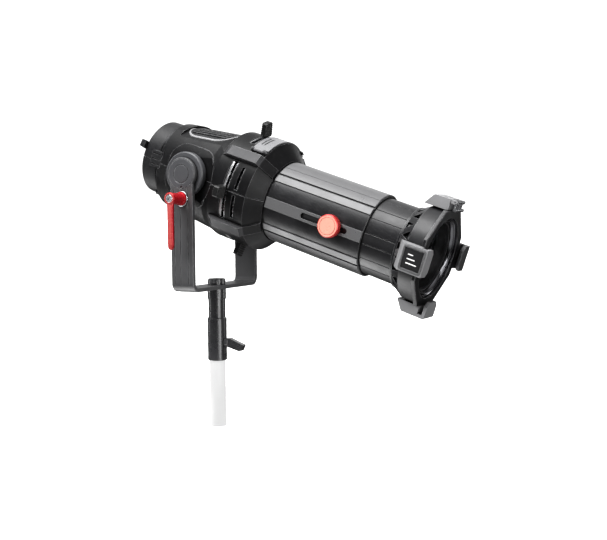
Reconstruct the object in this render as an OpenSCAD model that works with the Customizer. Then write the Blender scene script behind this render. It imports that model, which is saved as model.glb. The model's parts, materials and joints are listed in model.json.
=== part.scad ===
// Ellipsoidal spotlight head with zoomable projection lens, on a U-shaped yoke with a stand receiver.
// +Z is up, +X is the heading of the beam and -Y is the side of the tilt lever.
// The origin is the centre of the stand receiver's mouth. Lengths are in millimetres, angles in degrees.
// The head is drawn in its own frame: its origin is the tilt pivot and its +X is the optical axis.

/* [Stand receiver] */
// Radius of the bore for a 16 mm stand stud
socket_r = 8.1; // [7.9:0.05:8.4]
// Depth of that bore
socket_depth = 62; // [50:1:66]
// Outer radius of the lower tube
receiver_r = 15.1; // [13.5:0.1:17]
// Height of the lower tube
receiver_h = 67; // [60:1:75]
// Height at which the clamp lever's screw enters the tube
clamp_z = 28.7; // [22:0.1:36]

/* [Yoke] */
// Height of the tilt pivot above the receiver's mouth
pivot_z = 290; // [280:1:310]
// Distance from the pivot down to the underside of the cross bar
yoke_drop = 176.6; // [172:0.1:185]
// Distance from the optical axis to each arm's inner face
arm_inner = 85; // [85:0.5:90]
// Thickness of the flat bar
arm_t = 6; // [5.5:0.5:8]
// Width of the flat bar
arm_w = 39; // [34:1:44]
// Distance from the pivot down to the tilt lever's screw
tilt_lever_drop = 37; // [36:0.5:42]
// Length of the tilt lever from its screw to its tip
tilt_lever_l = 75; // [60:1:90]

/* [Head] */
// How far the nose points down at rest
head_tilt = 18.5; // [0:0.5:25]
// Radius of the housing around the framing shutters
gate_r = 83.5; // [83.5:0.5:84]
// Thickness of the housing's wall
wall = 4; // [3:0.5:4.5]
// Radius of the rear drum
drum_r = 58; // [57:0.5:59]
// Radius of the trunnion rings
trunnion_r = 33; // [31:0.5:33]

/* [Shutters] */
// Position of the shutters' middle plane along the optical axis
shutter_x = 75.2; // [74:0.1:76]
// Radius of the gate's aperture
aperture_r = 31; // [28:1:32]
// Half the width of a shutter blade
blade_half_w = 29; // [25:1:29]
// Thickness of a shutter blade
blade_t = 0.9; // [0.6:0.1:1]
// Lean of the top blade
lean_top = 17; // [0:1:17]
// Lean of the bottom blade
lean_bottom = -14; // [-14:1:0]

/* [Barrel] */
// Outer radius of the fixed barrel
barrel_r = 60.2; // [60:0.1:61]
// Where the fixed barrel ends
barrel_end = 294; // [285:1:300]
// Outer radius of the sliding barrel
slider_r = 57; // [56:0.1:57]
// Position of the focus knob at rest
knob_x = 244.5; // [235:0.5:250]
// Radius of the focus knob
knob_r = 16.5; // [14:0.5:18]
// How far the lens can slide back from rest
focus_in = 46; // [30:1:46]
// How far the lens can slide out from rest
focus_out = 22; // [10:1:24]

/* [Front holder] */
// Distance from the optical axis to the outer face of each frame bracket
holder_r = 85; // [83:0.5:86]
// Half the width of a bracket
bracket_half_w = 18.9; // [16:0.1:20]
// Radius of the front opening
mouth_r = 58.9; // [58:0.1:60]
// Front face of the octagonal plate
plate_front = 389.5; // [389:0.5:391]
// Width of the slot for a colour frame
frame_slot = 7; // [6:0.5:7.5]
// Thickness of a bracket's lip
lip_t = 4.5; // [3.5:0.5:5]

/* [Hidden] */
$fn = 96;
fine = 48;
eps = 0.01;
// Gap between nested pieces of one body, running clearance of a shaft, and gap between moving pieces
nest = 0.05;
run_gap = 0.06;
gap = 0.3;

bar_z = pivot_z - yoke_drop;
arm_outer = arm_inner + arm_t;
bar_top = bar_z + arm_t;
yoke_corner = 14;
arm_end_r = 24.2;
cap_r = 22.2;
cap_t = 1.1;
bolt_recess_r = 17;
bolt_recess = 3.4;
pivot_bolt_r = 8;
pivot_head_r = 14;
bush_r = 10;
neck_r = 13.4;
neck_top = 97;
collar_r = 14.6;
yoke_bolt_r = 5;
cap_nut_r = 13.5;
cap_nut_h = 9.4;
clamp_screw_r = 4;
tilt_screw_r = 3;
washer_t = 2;
tilt_hub_r = 9;
tilt_handle_t = 6.6;
tilt_hub_end = arm_outer + 31;

// Trunnions, measured outwards from the optical axis
trunnion_in = 73.8;
trunnion_out = 84;
brake_disc_t = 0.8;
recess_floor = 73.4;
recess_r = 49.5;
spigot_r = 25;
spigot_l = 9;

// Rear drum and flange
drum_rear = -100;
drum_front = -62;
drum_wall = 5;
flange_r = 63.5;

// Lock button of the rear mount
lock_x = -66;
lock_z = 4;
lock_w = 19.2;
lock_h = 25.2;
lock_floor = 57.2;
lock_face = 70;
lock_travel = 2;
lock_spring_r = 4.4;
lock_spring_l = 8.4;

// Housing outline as [radius, x]
housing_start = -64;
housing_end = 132;
rear_outline = [[66, -64], [70, -61], [72.5, -40], [76.5, 0], [79.5, 34], [gate_r, 48]];
cone_start = 112;
cone_r = 62.6;
cone_rib_r = 66;
roof_r = 102;
roof_drop = -34;
roof_slope = 7;
roof_rear = -45.5;
roof_front = 47;
shoulder_lift = 3.5;
rib_theta = 38.5;
rib_half_w = 8.2;
rib_r = 90;
seam_w = 0.8;
seam_depth = 1.2;
screw_seat = 56;
screw_r = 2;
screw_head_r = 3.8;

// Vent grille plan
grille_rear = -42;
grille_front = 36;
grille_half_w = 48;
grille_corner = 24;
grille_bars = 11;
grille_t = 5;

// Condensers and the cell that holds them
condenser_r = 51.3;
condenser_rear = -42;
condenser_front = 44;
cell_bore = 51.5;
cell_end = 50;
lens_edge = 4;

// Shutters and gate
gate_x = 62;
gate_t = 1.5;
layer_pitch = 1.45;
guide_t = 1.6;
stack_half = 4.7;
guide_r = 82.4;
slot_theta = 31;
blade_reach = 8;
grip_gap = 0.7;
grip_l = 22;
grip_w = 19;
grip_t = 8.4;
tang_half_w = 6;
tang_l = 12;
shift_top = -8.5;
shift_bottom = -6.5;
shift_near = -4;
shift_far = 0;

// Gobo bay and its cover
cover_x0 = 85;
cover_x1 = 111;
cover_in = gate_r + gap;
cover_out = gate_r + 2.6;
hinge_theta = 50;
hinge_r = gate_r + 3;
hinge_pin_r = 1.5;
knuckle_r = 3;
knuckle_x0 = 90.3;
knuckle_x1 = 105.7;
bay_x0 = 91;
bay_x1 = 105;
bay_half_w = 39;
iris_slot_x = 93;
iris_slot_w = 5;

// Barrels
barrel_start = 114;
rib_start = 133.5;
bore_r = slider_r + gap;
slot_half = 4.2;
stud_r = slot_half - gap;
slider_start = knob_x - 72;
slider_end = plate_front - 5;
slider_wall = 4;
barrel_face = 61;
knob_back = barrel_face + 0.4;
knob_face = knob_back + 10;
knob_pin_r = 2.6;
lens_r = 52.8;
lens_rear = 196;
lens_front = 358;

// Front ring and holder
ring_r = 69;
ring_start = 361;
plate_t = 5;
lip_back = plate_front + frame_slot;
holder_front = lip_back + lip_t;
frame_r = 80;
latch_x = 393;
latch_z = 82.5;
top_face = plate_front - 3;
latch_pin_r = 1.2;
latch_half_l = 12.6;
lug_y = 15.6;
lug_w = 4.8;
label_x = 383;
label_w = 26.4;
label_h = 27;

// Places children of the head in the part's frame
module head() {
  translate([0, 0, pivot_z]) rotate([0, head_tilt, 0]) children();
}

// Turns local Z to +X, local X to +Y and local Y to +Z
module along(x = 0) {
  translate([x, 0, 0]) rotate([90, 0, 90]) children();
}

// Turns local Z to -Y, starting y outwards from the middle
module outward(y = 0) {
  translate([0, -y, 0]) rotate([90, 0, 0]) children();
}

// Turns what is drawn at the top to theta, counted from the lever side up over the top
module at_theta(theta) {
  rotate([90 - theta, 0, 0]) children();
}

// The lever side and its mirror image
module both_sides() {
  children();
  mirror([0, 1, 0]) children();
}

// Solid of revolution about the optical axis from [radius, x] points
module lathe(points) {
  rotate([90, 0, 90]) rotate_extrude() polygon(points);
}

module tube(x0, x1, outer, inner) {
  lathe([[inner, x0], [outer, x0], [outer, x1], [inner, x1]]);
}

// Tube with broken outer edges
module bevelled_tube(x0, x1, outer, inner, b = 0.8) {
  lathe([[inner, x0], [outer - b, x0], [outer, x0 + b], [outer, x1 - b], [outer - b, x1], [inner, x1]]);
}

// Part of a tube between two angles theta
module sector(x0, x1, inner, outer, theta0, theta1) {
  along() rotate([0, 0, 180 - theta1]) rotate_extrude(angle = theta1 - theta0)
    translate([inner, x0]) square([outer - inner, x1 - x0]);
}

module rod(x0, x1, r) {
  along(x0) cylinder(r = r, h = x1 - x0);
}

// Disc with a broken edge on its far side
module button(r, h, b = 0.6) {
  rotate_extrude() polygon([[0, 0], [r, 0], [r, h - b], [r - b, h], [0, h]]);
}

// Rectangle with rounded corners, centred
module rounded(w, h, r) {
  square([w - 2 * r, h], center = true);
  square([w, h - 2 * r], center = true);
  for (i = [-1, 1], j = [-1, 1]) translate([i * (w / 2 - r), j * (h / 2 - r)]) circle(r = r, $fn = fine);
}

// ---------------------------------------------------------------- stand receiver

module stand_receiver() {
  color("#26272a") difference() {
    rotate_extrude() polygon([[0, 0], [receiver_r - 0.8, 0], [receiver_r, 0.8], [receiver_r, receiver_h - 1],
      [receiver_r - 1, receiver_h], [neck_r, receiver_h], [neck_r, neck_top], [0, neck_top]]);
    translate([0, 0, -1]) cylinder(r = socket_r, h = socket_depth + 1);
    translate([0, 0, socket_depth - 1]) cylinder(r = yoke_bolt_r + nest, h = neck_top - socket_depth + 2);
    translate([0, 0, clamp_z]) rotate([0, 90, 0]) cylinder(r = clamp_screw_r + run_gap, h = receiver_r + 2);
  }
}

module receiver_collar() {
  color("#2c2d30") difference() {
    translate([0, 0, neck_top]) button(collar_r, bar_z - neck_top, 0.8);
    translate([0, 0, neck_top - 1]) cylinder(r = yoke_bolt_r + nest, h = bar_z - neck_top + 2);
  }
}

module yoke_bolt() {
  inset = 6;
  color("#8c8f94") translate([0, 0, socket_depth + inset])
    cylinder(r = yoke_bolt_r, h = bar_top - socket_depth);
}

module yoke_cap_nut() {
  color("#1b1c1e") difference() {
    translate([0, 0, bar_top]) union() {
      button(cap_nut_r, cap_nut_h, 1.2);
      for (a = [0 : 15 : 345]) rotate([0, 0, a]) translate([cap_nut_r - 0.2, 0, 2])
        cylinder(r = 0.8, h = 5, $fn = 6);
    }
    translate([0, 0, bar_top - 1]) cylinder(r = yoke_bolt_r + nest, h = 7.2);
    translate([0, 0, bar_top + cap_nut_h - 3]) cylinder(r = 4.6, h = 4, $fn = 6);
  }
}

// Clamp screw and its one-sided lever, which grip the stand's stud
module stand_clamp_screw() {
  color("#8c8f94") translate([socket_r + 0.5, 0, clamp_z]) rotate([0, 90, 0])
    cylinder(r = clamp_screw_r, h = 15);
}

module stand_clamp_lever() {
  hub_r = 6.8;
  half_t = 4.5;
  paddle = [[19.5, -6.2], [19.5, 6.4], [24, 7.4], [50.5, -2.5], [46.5, -11.2], [42.5, -12.6]];
  color("#1b1c1e") translate([0, 0, clamp_z]) difference() {
    union() {
      translate([receiver_r + gap, 0, 0]) rotate([0, 90, 0]) button(hub_r, 7.5, 0.8);
      rotate([90, 0, 0]) translate([0, 0, -half_t]) linear_extrude(2 * half_t) polygon(paddle);
    }
    translate([receiver_r, 0, 0]) rotate([0, 90, 0]) cylinder(r = clamp_screw_r + nest, h = 9);
  }
}

// ---------------------------------------------------------------- yoke

module u_outline(half_w, floor_z, top, r) {
  translate([-half_w, floor_z + r]) square([2 * half_w, top - floor_z - r]);
  translate([-half_w + r, floor_z]) square([2 * (half_w - r), r + eps]);
  for (s = [-1, 1]) translate([s * (half_w - r), floor_z + r]) circle(r = r);
}

module yoke_bracket() {
  grooves = [-13.6, -2.7, 10.9];
  groove_w = 1.3;
  groove_d = 0.8;
  color("#2a2b2e") difference() {
    union() {
      along(-arm_w / 2) linear_extrude(arm_w) difference() {
        u_outline(arm_outer, bar_z, pivot_z, yoke_corner);
        u_outline(arm_inner, bar_top, pivot_z + 1, yoke_corner - arm_t);
      }
      both_sides() translate([0, 0, pivot_z]) outward(arm_inner) button(arm_end_r, arm_t, 0.8);
    }
    both_sides() translate([0, 0, pivot_z]) {
      outward(arm_inner - 1) cylinder(r = bush_r + nest, h = arm_t + 2);
      outward(arm_outer - bolt_recess) cylinder(r = bolt_recess_r, h = arm_t);
      outward(arm_outer - cap_t) cylinder(r = cap_r + nest, h = arm_t);
    }
    both_sides() for (x = grooves)
      translate([x - groove_w / 2, -arm_outer - 1, bar_z + 7])
        cube([groove_w, groove_d + 1, pivot_z - bar_z - 7 - arm_end_r + 2]);
    translate([0, 0, pivot_z - tilt_lever_drop]) outward(arm_inner - 1)
      cylinder(r = tilt_screw_r + run_gap, h = arm_t + 2);
    translate([0, 0, bar_z - 1]) cylinder(r = yoke_bolt_r + nest, h = arm_t + 2);
  }
}

module pivot_bushes() {
  web = arm_t - bolt_recess;
  color("#b08d57") both_sides() translate([0, 0, pivot_z]) outward(arm_inner + 0.05) difference() {
    cylinder(r = bush_r, h = web - 0.1);
    translate([0, 0, -1]) cylinder(r = pivot_bolt_r + run_gap, h = web + 2);
  }
}

module friction_discs() {
  color("#d8d4c8") both_sides() translate([0, 0, pivot_z]) outward(trunnion_out + 0.1) difference() {
    cylinder(r = arm_end_r - 1, h = brake_disc_t);
    translate([0, 0, -1]) cylinder(r = pivot_bolt_r + gap, h = brake_disc_t + 2);
  }
}

// Plain caps with one round notch at the lower rim, over the pivot bolts' heads
module pivot_caps() {
  color("#5b5d66") both_sides() translate([0, 0, pivot_z]) outward(arm_outer - cap_t) difference() {
    button(cap_r, cap_t + 0.5, 0.5);
    translate([0, -cap_r + 2.6, -1]) cylinder(r = 1.7, h = cap_t + 3, $fn = fine);
    translate([0, 0, cap_t]) difference() {
      cylinder(r = 14.2, h = 2);
      translate([0, 0, -1]) cylinder(r = 12.8, h = 4);
    }
  }
}

module lever_frame() {
  translate([0, 0, pivot_z - tilt_lever_drop]) children();
}

// Red ratchet lever: a hub on the screw and a flat handle that hangs from its outer end
module tilt_lever() {
  tip_r = 5;
  foot = arm_outer + washer_t + gap;
  reach = tilt_lever_l - tip_r;
  color("#c8383c") lever_frame() difference() {
    union() {
      outward(foot) button(tilt_hub_r, tilt_hub_end - foot, 1);
      outward(foot) button(tilt_hub_r + 1.2, 5, 0.8);
      outward(tilt_hub_end - tilt_handle_t) linear_extrude(tilt_handle_t) union() {
        polygon([[-7, 0], [7, 0], [4.7, -13], [tip_r, -reach], [-tip_r, -reach], [-4.7, -13]]);
        translate([0, -reach]) circle(r = tip_r, $fn = fine);
      }
    }
    outward(arm_outer) cylinder(r = tilt_screw_r + nest, h = 40);
    outward(tilt_hub_end - 2.2) cylinder(r = 6, h = 4);
  }
}

module tilt_screw() {
  head_r = 5.8;
  start = trunnion_in + 1;
  color("#c9cbd0") lever_frame() difference() {
    union() {
      outward(start) cylinder(r = tilt_screw_r, h = tilt_hub_end - start - 1);
      outward(tilt_hub_end - 2.1) button(head_r, 2.4, 0.5);
    }
    outward(tilt_hub_end - 1.4) cylinder(r = 2.6, h = 3, $fn = 6);
  }
}

module tilt_washer() {
  color("#c9cbd0") lever_frame() outward(arm_outer) difference() {
    button(11.5, washer_t, 0.5);
    translate([0, 0, -1]) cylinder(r = tilt_screw_r + run_gap, h = washer_t + 2);
  }
}

// Shoe that the tilt screw draws against the underside of the trunnion ring
module tilt_brake_shoe() {
  color("#3a3b3e") difference() {
    lever_frame() outward(trunnion_in + 0.7) translate([-13, -7.5, 0])
      cube([26, 19, arm_inner - trunnion_in - 0.9]);
    translate([0, 0, pivot_z]) outward(trunnion_in - 1) cylinder(r = trunnion_r + gap, h = 14);
    lever_frame() outward(trunnion_in - 1) cylinder(r = tilt_screw_r + run_gap, h = 14);
  }
}

// ---------------------------------------------------------------- head: trunnions

module pivot_rings() {
  color("#585a63") head() both_sides() outward(trunnion_in) difference() {
    union() {
      button(trunnion_r, trunnion_out - trunnion_in, 1.6);
      translate([0, 0, -spigot_l]) cylinder(r = spigot_r, h = spigot_l + eps);
    }
    translate([0, 0, -10]) cylinder(r = pivot_bolt_r + nest, h = 24);
  }
}

module pivot_bolts() {
  inner_end = 66;
  head_in = arm_outer - bolt_recess + gap;
  color("#8c8f94") head() both_sides() difference() {
    union() {
      outward(inner_end) cylinder(r = pivot_bolt_r, h = head_in - inner_end + eps);
      outward(head_in) button(pivot_head_r, 1.6, 0.4);
    }
    outward(head_in + 0.3) cylinder(r = 5, h = 3, $fn = 6);
  }
}

// ---------------------------------------------------------------- head: housing

function shrunk(points, t) = [for (p = points) [p[0] - t, p[1]]];

// Outer form without the ribs
module housing_form(t) {
  lathe(concat([[0, housing_start]], shrunk(rear_outline, t), [[gate_r - t, cone_start],
    [gate_r - 1.6 - t, cone_start + 1.4], [cone_r - t, housing_end], [0, housing_end]]));
}

// Cylinder whose top is the sloping roof
module roof_rod(x0, x1, r, lift = 0) {
  translate([0, 0, roof_drop + lift]) rotate([0, -roof_slope, 0]) rod(x0, x1, r);
}

// Lowered roof over the condensers, between the round gate section and a shoulder behind the grille
module roof_cut(t) {
  difference() {
    translate([roof_rear - t, -90, 30]) cube([roof_front - roof_rear + t, 180, 80]);
    roof_rod(-120, 90, roof_r - t);
  }
  difference() {
    translate([-90, -90, 30]) cube([91 + roof_rear, 180, 80]);
    roof_rod(-120, 90, roof_r - t, shoulder_lift);
  }
}

// Diagonal rib with bevelled ends, which runs on down the cone
module rib() {
  translate([0, rib_half_w, 0]) rotate([90, 0, 0]) linear_extrude(2 * rib_half_w)
    polygon([[44, 70], [44, gate_r - 4], [58, rib_r], [109, rib_r], [112.5, rib_r - 4.5],
      [housing_end, cone_rib_r], [housing_end, 50], [100, 70]]);
}

// Raised pad around each trunnion, seen from the side
module side_pad() {
  intersection() {
    housing_form(-1.6);
    both_sides() outward(40) translate([2, -1]) linear_extrude(50) rounded(84, 88, 26);
  }
}

module shutter_slots() {
  for (theta = [0, 90, 180, 270])
    sector(shutter_x - stack_half - 0.4, shutter_x + stack_half + 0.4, gate_r - 8, gate_r + 4,
      theta - slot_theta, theta + slot_theta);
}

module iris_slots() {
  for (theta = [3, -27, 153, 183])
    sector(iris_slot_x - iris_slot_w / 2, iris_slot_x + iris_slot_w / 2, gate_r - 8, gate_r + 4,
      theta, theta + 24);
}

// Outline of the grille seen from above
module grille_plan(m) {
  translate([(grille_rear + grille_front) / 2, 0])
    rounded(grille_front - grille_rear + 2 * m, 2 * grille_half_w + 2 * m, grille_corner + m);
}

module housing() {
  difference() {
    union() {
      difference() {
        union() {
          housing_form(0);
          side_pad();
        }
        roof_cut(0);
        both_sides() outward(recess_floor) cylinder(r = recess_r, h = 30);
      }
      difference() {
        for (theta = [rib_theta, -rib_theta, 180 - rib_theta, 180 + rib_theta]) at_theta(theta) rib();
        rod(40, 140, 58);
      }
      // Trunnion seats
      both_sides() outward(60) cylinder(r = 29, h = trunnion_in - 60 - 0.05);
    }
    // Inside, with its own lowered roof and thick seats for the trunnions
    difference() {
      housing_form(wall);
      roof_cut(wall);
      both_sides() outward(recess_floor - wall) cylinder(r = recess_r + wall, h = 30);
    }
    lathe([[0, housing_end - 22], [barrel_r + nest, housing_end - 22], [barrel_r + nest, housing_end + 1],
      [0, housing_end + 1]]);
    rod(housing_start - 1, housing_start + 6, drum_r + nest);
    both_sides() outward(50) cylinder(r = spigot_r + nest, h = 40);
    shutter_slots();
    iris_slots();
    translate([bay_x0, -bay_half_w, 40]) cube([bay_x1 - bay_x0, 2 * bay_half_w, 60]);
    linear_extrude(120) grille_plan(nest);
    lock_pocket();
  }
}

// Narrow groove along the joint of the two halves
module seam() {
  difference() {
    translate([housing_start - 1, -100, -seam_w / 2]) cube([housing_end - housing_start + 2, 200, seam_w]);
    housing_form(seam_depth);
    both_sides() outward(60) cylinder(r = 30, h = 20);
  }
}

module hinge_place() {
  at_theta(hinge_theta) translate([0, 0, hinge_r]) children();
}

module upper_housing() {
  lug_l = knuckle_x0 - gap - cover_x0;
  color("#333438") head() difference() {
    union() {
      intersection() {
        housing();
        translate([housing_start - 1, -120, 0]) cube([240, 240, 130]);
      }
      hinge_place() for (x = [cover_x0, cover_x1 - lug_l]) {
        rod(x, x + lug_l, knuckle_r);
        translate([x, -2.4, -5]) cube([lug_l, 4.8, 5]);
      }
    }
    seam();
    hinge_place() rod(cover_x0 - 1, cover_x1 + 1, hinge_pin_r + nest);
  }
}

module lower_housing() {
  color("#333438") head() difference() {
    intersection() {
      housing();
      translate([housing_start - 1, -120, -130]) cube([240, 240, 130]);
    }
    seam();
    screw_places() translate([0, 0, -90]) cylinder(r = screw_head_r + 0.4, h = 90 - screw_seat, $fn = fine);
    screw_places() translate([0, 0, -70]) cylinder(r = screw_r + nest, h = 60, $fn = fine);
  }
}

// Four screws join the halves from below
module screw_places() {
  for (x = [-46, 38], y = [-42, 42]) translate([x, y, 0]) children();
}

module housing_screws() {
  color("#55575c") head() screw_places() difference() {
    union() {
      translate([0, 0, -screw_seat - nest]) mirror([0, 0, 1]) button(screw_head_r, 3, 0.5);
      translate([0, 0, -screw_seat - 2 * nest]) cylinder(r = screw_r, h = 10, $fn = fine);
    }
    translate([0, 0, -screw_seat - 4]) cylinder(r = 1.7, h = 3, $fn = 6);
  }
}

// Insert with lengthwise louvres
module vent_grille() {
  pitch = 2 * (grille_half_w - 5) / grille_bars;
  color("#141517") head() difference() {
    intersection() {
      difference() {
        roof_rod(-70, 70, roof_r + 0.5);
        roof_rod(-71, 71, roof_r - grille_t);
      }
      translate([0, 0, 20]) linear_extrude(90) grille_plan(0);
      lathe(concat([[0, -63]], rear_outline, [[0, 48]]));
    }
    for (i = [0 : grille_bars - 1])
      translate([grille_rear + 8, -grille_half_w + 5 + (i + 0.5) * pitch - 2.4, 20])
        cube([grille_front - grille_rear - 14, 4.8, 80]);
  }
}

// ---------------------------------------------------------------- head: rear mount

module lock_place(depth) {
  outward(depth) translate([lock_x, lock_z, 0]) children();
}

// Recess in which the mount's lock button slides
module lock_pocket() {
  lock_place(lock_floor) linear_extrude(30) rounded(lock_w + 2 * gap + 0.2, lock_h + 2 * gap + 0.2, 3);
}

module drum(upper) {
  head() difference() {
    union() {
      lathe([[drum_r - drum_wall, drum_rear + 2], [drum_r - 1, drum_rear], [drum_r, drum_rear + 1],
        [drum_r + 0.6, -71], [drum_r, -71], [drum_r, drum_front + 2], [drum_r - drum_wall, drum_front + 2]]);
      // Catch under the drum
      at_theta(-62) translate([-80, -5, drum_r - 1]) cube([7, 10, 4.5]);
    }
    translate([-120, -80, upper ? -80 : 0]) cube([80, 160, 80]);
    translate([-120, -80, -0.3]) cube([80, 30, 0.6]);
    translate([-120, 50, -0.3]) cube([80, 30, 0.6]);
    lock_pocket();
  }
}

module rear_drum_upper() {
  color("#3a3b40") drum(true);
}

module rear_drum_lower() {
  color("#3a3b40") drum(false);
}

module rear_flange_ring() {
  color("#8a8c92") head() difference() {
    lathe([[drum_r + 0.7, -70], [flange_r - 1.6, -70], [flange_r, -68.4], [flange_r, -65.6],
      [flange_r - 1, -64.1], [drum_r + 0.7, -64.1]]);
    lock_pocket();
  }
}

// Rear plate with three bayonet claws
module bayonet_plate() {
  color("#1d1e20") head() {
    difference() {
      rod(drum_rear + 2.1, drum_rear + 6, drum_r - drum_wall - nest);
      rod(drum_rear - 1, drum_rear + 8, 46);
    }
    for (theta = [17.5, 137.5, 257.5]) at_theta(theta) difference() {
      translate([drum_rear - 8, -5.5, 49]) cube([13, 11, 15]);
      translate([drum_rear + 0.4 - eps, -6.5, drum_r - drum_wall - 2]) cube([20, 13, 20]);
      translate([drum_rear - 5, -6.5, 44]) cube([2.5, 13, 14]);
    }
  }
}

module mount_lock_button() {
  color("#17181a") head() difference() {
    lock_place(lock_floor + lock_travel + 0.5)
      linear_extrude(lock_face - lock_floor - lock_travel - 0.5) rounded(lock_w, lock_h, 2.6);
    lock_place(lock_floor) cylinder(r = lock_spring_r + 0.6, h = lock_spring_l + 0.1);
    for (y = [-8, 0, 8]) lock_place(lock_face - 1) translate([0, y, 1]) cube([16, 1.8, 2], center = true);
  }
}

module mount_lock_spring() {
  color("#8c8f94") head() lock_place(lock_floor + nest) difference() {
    cylinder(r = lock_spring_r, h = lock_spring_l);
    translate([0, 0, -1]) cylinder(r = lock_spring_r - 1.2, h = lock_spring_l + 2);
  }
}

// ---------------------------------------------------------------- head: optics of the rear

// Plano-convex lens: flat side at x, curved towards +X or, flipped, towards -X
module lens(x, r, edge, sag, flip = false) {
  ball = (r * r + sag * sag) / (2 * sag);
  translate([x, 0, 0]) mirror([flip ? 1 : 0, 0, 0]) along() intersection() {
    cylinder(r = r, h = edge + sag);
    translate([0, 0, edge + sag - ball]) sphere(r = ball);
  }
}

module condenser_cell() {
  color("#2c2d30") head() difference() {
    union() {
      tube(-54, cell_end, 55, cell_bore);
      tube(-56, -53.8, 56.1, 46);
      tube(cell_end - 4, cell_end, 61, cell_bore);
    }
    for (theta = [0 : 30 : 330]) at_theta(theta) translate([0, -5, 48]) cube([30, 10, 10]);
  }
}

module condenser_lens_rear() {
  color("#dfe9ee") head() lens(condenser_rear, condenser_r, lens_edge, 13);
}

module condenser_lens_front() {
  color("#dfe9ee") head() lens(condenser_front, condenser_r, lens_edge, 12, true);
}

module condenser_rings() {
  color("#191a1c") head() {
    tube(condenser_rear - 4, condenser_rear - nest, cell_bore - 0.1, 46);
    tube(condenser_front + nest, condenser_front + 3.5, cell_bore - 0.1, 47);
  }
}

module gate_plate() {
  color("#9a9da3") head() difference() {
    rod(gate_x, gate_x + gate_t, gate_r - wall - 0.3);
    rod(gate_x - 1, gate_x + gate_t + 1, aperture_r + 1);
    for (theta = [45 : 90 : 315]) at_theta(theta) translate([gate_x - 1, 0, 70]) rod(0, 4, 2.1);
  }
}

// Two steel plates with the blades between them; their lobes reach into the housing's slots
module shutter_guides() {
  color("#c4c7cc") head() for (x = [shutter_x - stack_half, shutter_x + stack_half - guide_t]) difference() {
    union() {
      rod(x, x + guide_t, 75);
      for (theta = [0, 90, 180, 270])
        sector(x, x + guide_t, 70, guide_r, theta - slot_theta + 1, theta + slot_theta - 1);
    }
    rod(x - 1, x + 2, aperture_r);
  }
}

// Channel for a gobo or iris carrier, open at the top
module gobo_guide() {
  color("#8e9197") head() difference() {
    translate([bay_x0 - 1.2, -bay_half_w - 5, -46]) cube([bay_x1 - bay_x0 + 2.4, 2 * bay_half_w + 10, 108]);
    translate([bay_x0, -bay_half_w, -41]) cube([bay_x1 - bay_x0, 2 * bay_half_w, 130]);
    rod(bay_x0 - 3, bay_x1 + 3, aperture_r + 5);
    translate([bay_x0 - 3, -24, 10]) cube([bay_x1 - bay_x0 + 6, 48, 80]);
  }
}

// ---------------------------------------------------------------- head: shutters

// Blade drawn for the top. Its lean turns it about the point where it leaves the housing.
module blade_place(shift, lean) {
  translate([0, shift, gate_r]) rotate([lean, 0, 0]) translate([0, 0, -gate_r]) children();
}

module blade(layer, shift, lean) {
  x = shutter_x + (layer - 1.5) * layer_pitch - blade_t / 2;
  intersection() {
    blade_place(shift, lean) difference() {
      translate([x, -blade_half_w, -blade_reach]) cube([blade_t, 2 * blade_half_w, gate_r + blade_reach]);
      for (s = [-1, 1]) translate([x - 1, s * (blade_half_w - 7), gate_r - 9]) rotate([0, 90, 0])
        cylinder(r = 2, h = 3);
    }
    rod(x - 1, x + 2, guide_r);
  }
  // Tang on which the grip is moulded
  blade_place(shift, lean) translate([x, -tang_half_w, gate_r - tang_l])
    cube([blade_t, 2 * tang_half_w, 2 * tang_l]);
}

module grip(layer, shift, lean) {
  x = shutter_x + (layer - 1.5) * layer_pitch - blade_t / 2;
  base = gate_r + grip_gap;
  blade_place(shift, lean) difference() {
    translate([shutter_x - grip_t / 2, 0, 0]) rotate([90, 0, 90]) linear_extrude(grip_t)
      polygon([[-grip_w / 2 + 2, base], [grip_w / 2 - 2, base], [grip_w / 2, base + 4],
        [grip_w / 2 - 1.5, base + grip_l - 2], [grip_w / 2 - 3.5, base + grip_l],
        [-grip_w / 2 + 3.5, base + grip_l], [-grip_w / 2 + 1.5, base + grip_l - 2], [-grip_w / 2, base + 4]]);
    translate([x - nest, -tang_half_w - nest, base - 1])
      cube([blade_t + 2 * nest, 2 * (tang_half_w + nest), tang_l + 1]);
    for (s = [-1, 1], i = [0 : 4])
      translate([shutter_x + s * grip_t / 2, -10, base + 5 + 3.4 * i]) rotate([0, 45, 0])
        translate([-0.6, 0, -0.6]) cube([1.2, 20, 1.2]);
  }
}

module shutter_blade_top() {
  color("#c4c7cc") head() blade(0, shift_top, lean_top);
}

module shutter_blade_bottom() {
  color("#c4c7cc") head() rotate([180, 0, 0]) blade(2, shift_bottom, lean_bottom);
}

module shutter_blade_near() {
  color("#c4c7cc") head() rotate([90, 0, 0]) blade(1, shift_near, 0);
}

module shutter_blade_far() {
  color("#c4c7cc") head() rotate([-90, 0, 0]) blade(3, shift_far, 0);
}

module shutter_grip_top() {
  color("#1c1d1f") head() grip(0, shift_top, lean_top);
}

module shutter_grip_bottom() {
  color("#1c1d1f") head() rotate([180, 0, 0]) grip(2, shift_bottom, lean_bottom);
}

module shutter_grip_near() {
  color("#1c1d1f") head() rotate([90, 0, 0]) grip(1, shift_near, 0);
}

module shutter_grip_far() {
  color("#1c1d1f") head() rotate([-90, 0, 0]) grip(3, shift_far, 0);
}

// ---------------------------------------------------------------- head: gobo cover

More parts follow.
